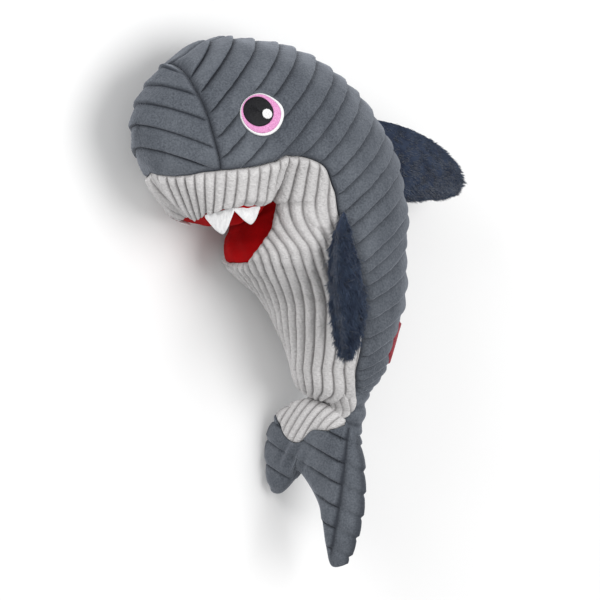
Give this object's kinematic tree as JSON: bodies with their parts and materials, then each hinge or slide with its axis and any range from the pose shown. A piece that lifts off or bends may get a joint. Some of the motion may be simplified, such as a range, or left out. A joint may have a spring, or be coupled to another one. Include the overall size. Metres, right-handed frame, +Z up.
{
  "type": "plush shark",
  "caption": "Soft plush shark lying on its flank with an arched back, open red mouth, felt teeth, embroidered eyes, furry fins and a folded forked tail.",
  "frame": {"origin": "middle of the base of the bounding box, on the plane that the shark lies on", "axes": "+X from the belly to the back, +Y towards the head, +Z up, from the right flank that it lies on to the left flank"},
  "size_m": [0.2386, 0.3279, 0.1147],
  "materials": {
    "grey_plush": "short slate-grey plush with sewn tuck ribs",
    "light_cord": "wide-rib light grey cord plush",
    "red_lining": "deep red brushed knit",
    "navy_fur": "long-pile navy fur",
    "white_felt": "white felt",
    "stuffing": "polyester stuffing",
    "white_stitch": "white satin stitch",
    "pink_stitch": "pink satin stitch",
    "black_stitch": "black satin stitch",
    "red_stitch": "red satin stitch",
    "squeaker_plastic": "soft moulded plastic"
  },
  "bodies": {
    "body": {"left_side_panel": "grey_plush", "right_side_panel": "grey_plush", "snout_panel": "grey_plush", "belly_lip_panel": "light_cord", "palate_lining": "red_lining", "tongue_lining": "red_lining", "head_fill": "stuffing", "body_fill": "stuffing", "squeaker_bladder": "squeaker_plastic", "squeaker_reed": "squeaker_plastic", "left_eye_border": "white_stitch", "left_eye_iris": "pink_stitch", "left_eye_pupil": "black_stitch", "left_eye_glint": "white_stitch", "right_eye_border": "white_stitch", "right_eye_iris": "pink_stitch", "right_eye_pupil": "black_stitch", "right_eye_glint": "white_stitch", "flank_patch": "red_stitch"},
    "tail": {"tail_back_panel": "grey_plush", "tail_under_panel": "grey_plush", "tail_white_patch": "light_cord", "tail_fill": "stuffing"},
    "dorsal_fin": {"dorsal_fin_left_cover": "navy_fur", "dorsal_fin_right_cover": "navy_fur", "dorsal_fin_fill": "stuffing"},
    "left_pectoral": {"left_pectoral_upper_cover": "navy_fur", "left_pectoral_lower_cover": "navy_fur", "left_pectoral_fill": "stuffing"},
    "right_pectoral": {"right_pectoral_upper_cover": "navy_fur", "right_pectoral_lower_cover": "navy_fur", "right_pectoral_fill": "stuffing"},
    "left_front_tooth": {"left_front_tooth": "white_felt"},
    "left_rear_tooth": {"left_rear_tooth": "white_felt"},
    "right_front_tooth": {"right_front_tooth": "white_felt"},
    "right_rear_tooth": {"right_rear_tooth": "white_felt"}
  },
  "joints": [
    {"name": "tail_fold", "type": "hinge", "parent": "body", "child": "tail", "pos_m": [0.0237, -0.0631, 0.045], "axis": [0, 0, 1], "range_deg": [-6, 40]},
    {"name": "dorsal_fin_flap", "type": "hinge", "parent": "body", "child": "dorsal_fin", "pos_m": [0.07327, 0.05942, 0.045], "axis": [-0.2793, 0.9602, 0], "range_deg": [-20, 20], "stiffness_Nm_per_rad": 0.02},
    {"name": "left_pectoral_flap", "type": "hinge", "parent": "body", "child": "left_pectoral", "pos_m": [-0.0023, 0.0568, 0.0953], "axis": [0.2949, -0.9541, -0.052], "range_deg": [-100, 0]},
    {"name": "right_pectoral_flap", "type": "hinge", "parent": "body", "child": "right_pectoral", "pos_m": [-0.0023, 0.0568, 0.00275], "axis": [0.3567, -0.9342, 0], "range_deg": [-130, 0]},
    {"name": "left_front_tooth_flap", "type": "hinge", "parent": "body", "child": "left_front_tooth", "pos_m": [-0.08209, 0.05105, 0.06489], "axis": [0.4617, 0.2444, 0.8527], "range_deg": [-25, 8], "stiffness_Nm_per_rad": 0.002},
    {"name": "left_rear_tooth_flap", "type": "hinge", "parent": "body", "child": "left_rear_tooth", "pos_m": [-0.07367, 0.05551, 0.08022], "axis": [0.9855, 0.0758, 0.1516], "range_deg": [-25, 8], "stiffness_Nm_per_rad": 0.002},
    {"name": "right_front_tooth_flap", "type": "hinge", "parent": "body", "child": "right_front_tooth", "pos_m": [-0.08214, 0.05144, 0.0252], "axis": [0.4617, 0.2444, -0.8527], "range_deg": [0, 55], "stiffness_Nm_per_rad": 0.002},
    {"name": "right_rear_tooth_flap", "type": "hinge", "parent": "body", "child": "right_rear_tooth", "pos_m": [-0.0737, 0.0559, 0.00978], "axis": [0.9855, 0.0758, -0.1516], "range_deg": [0, 55], "stiffness_Nm_per_rad": 0.002}
  ]
}
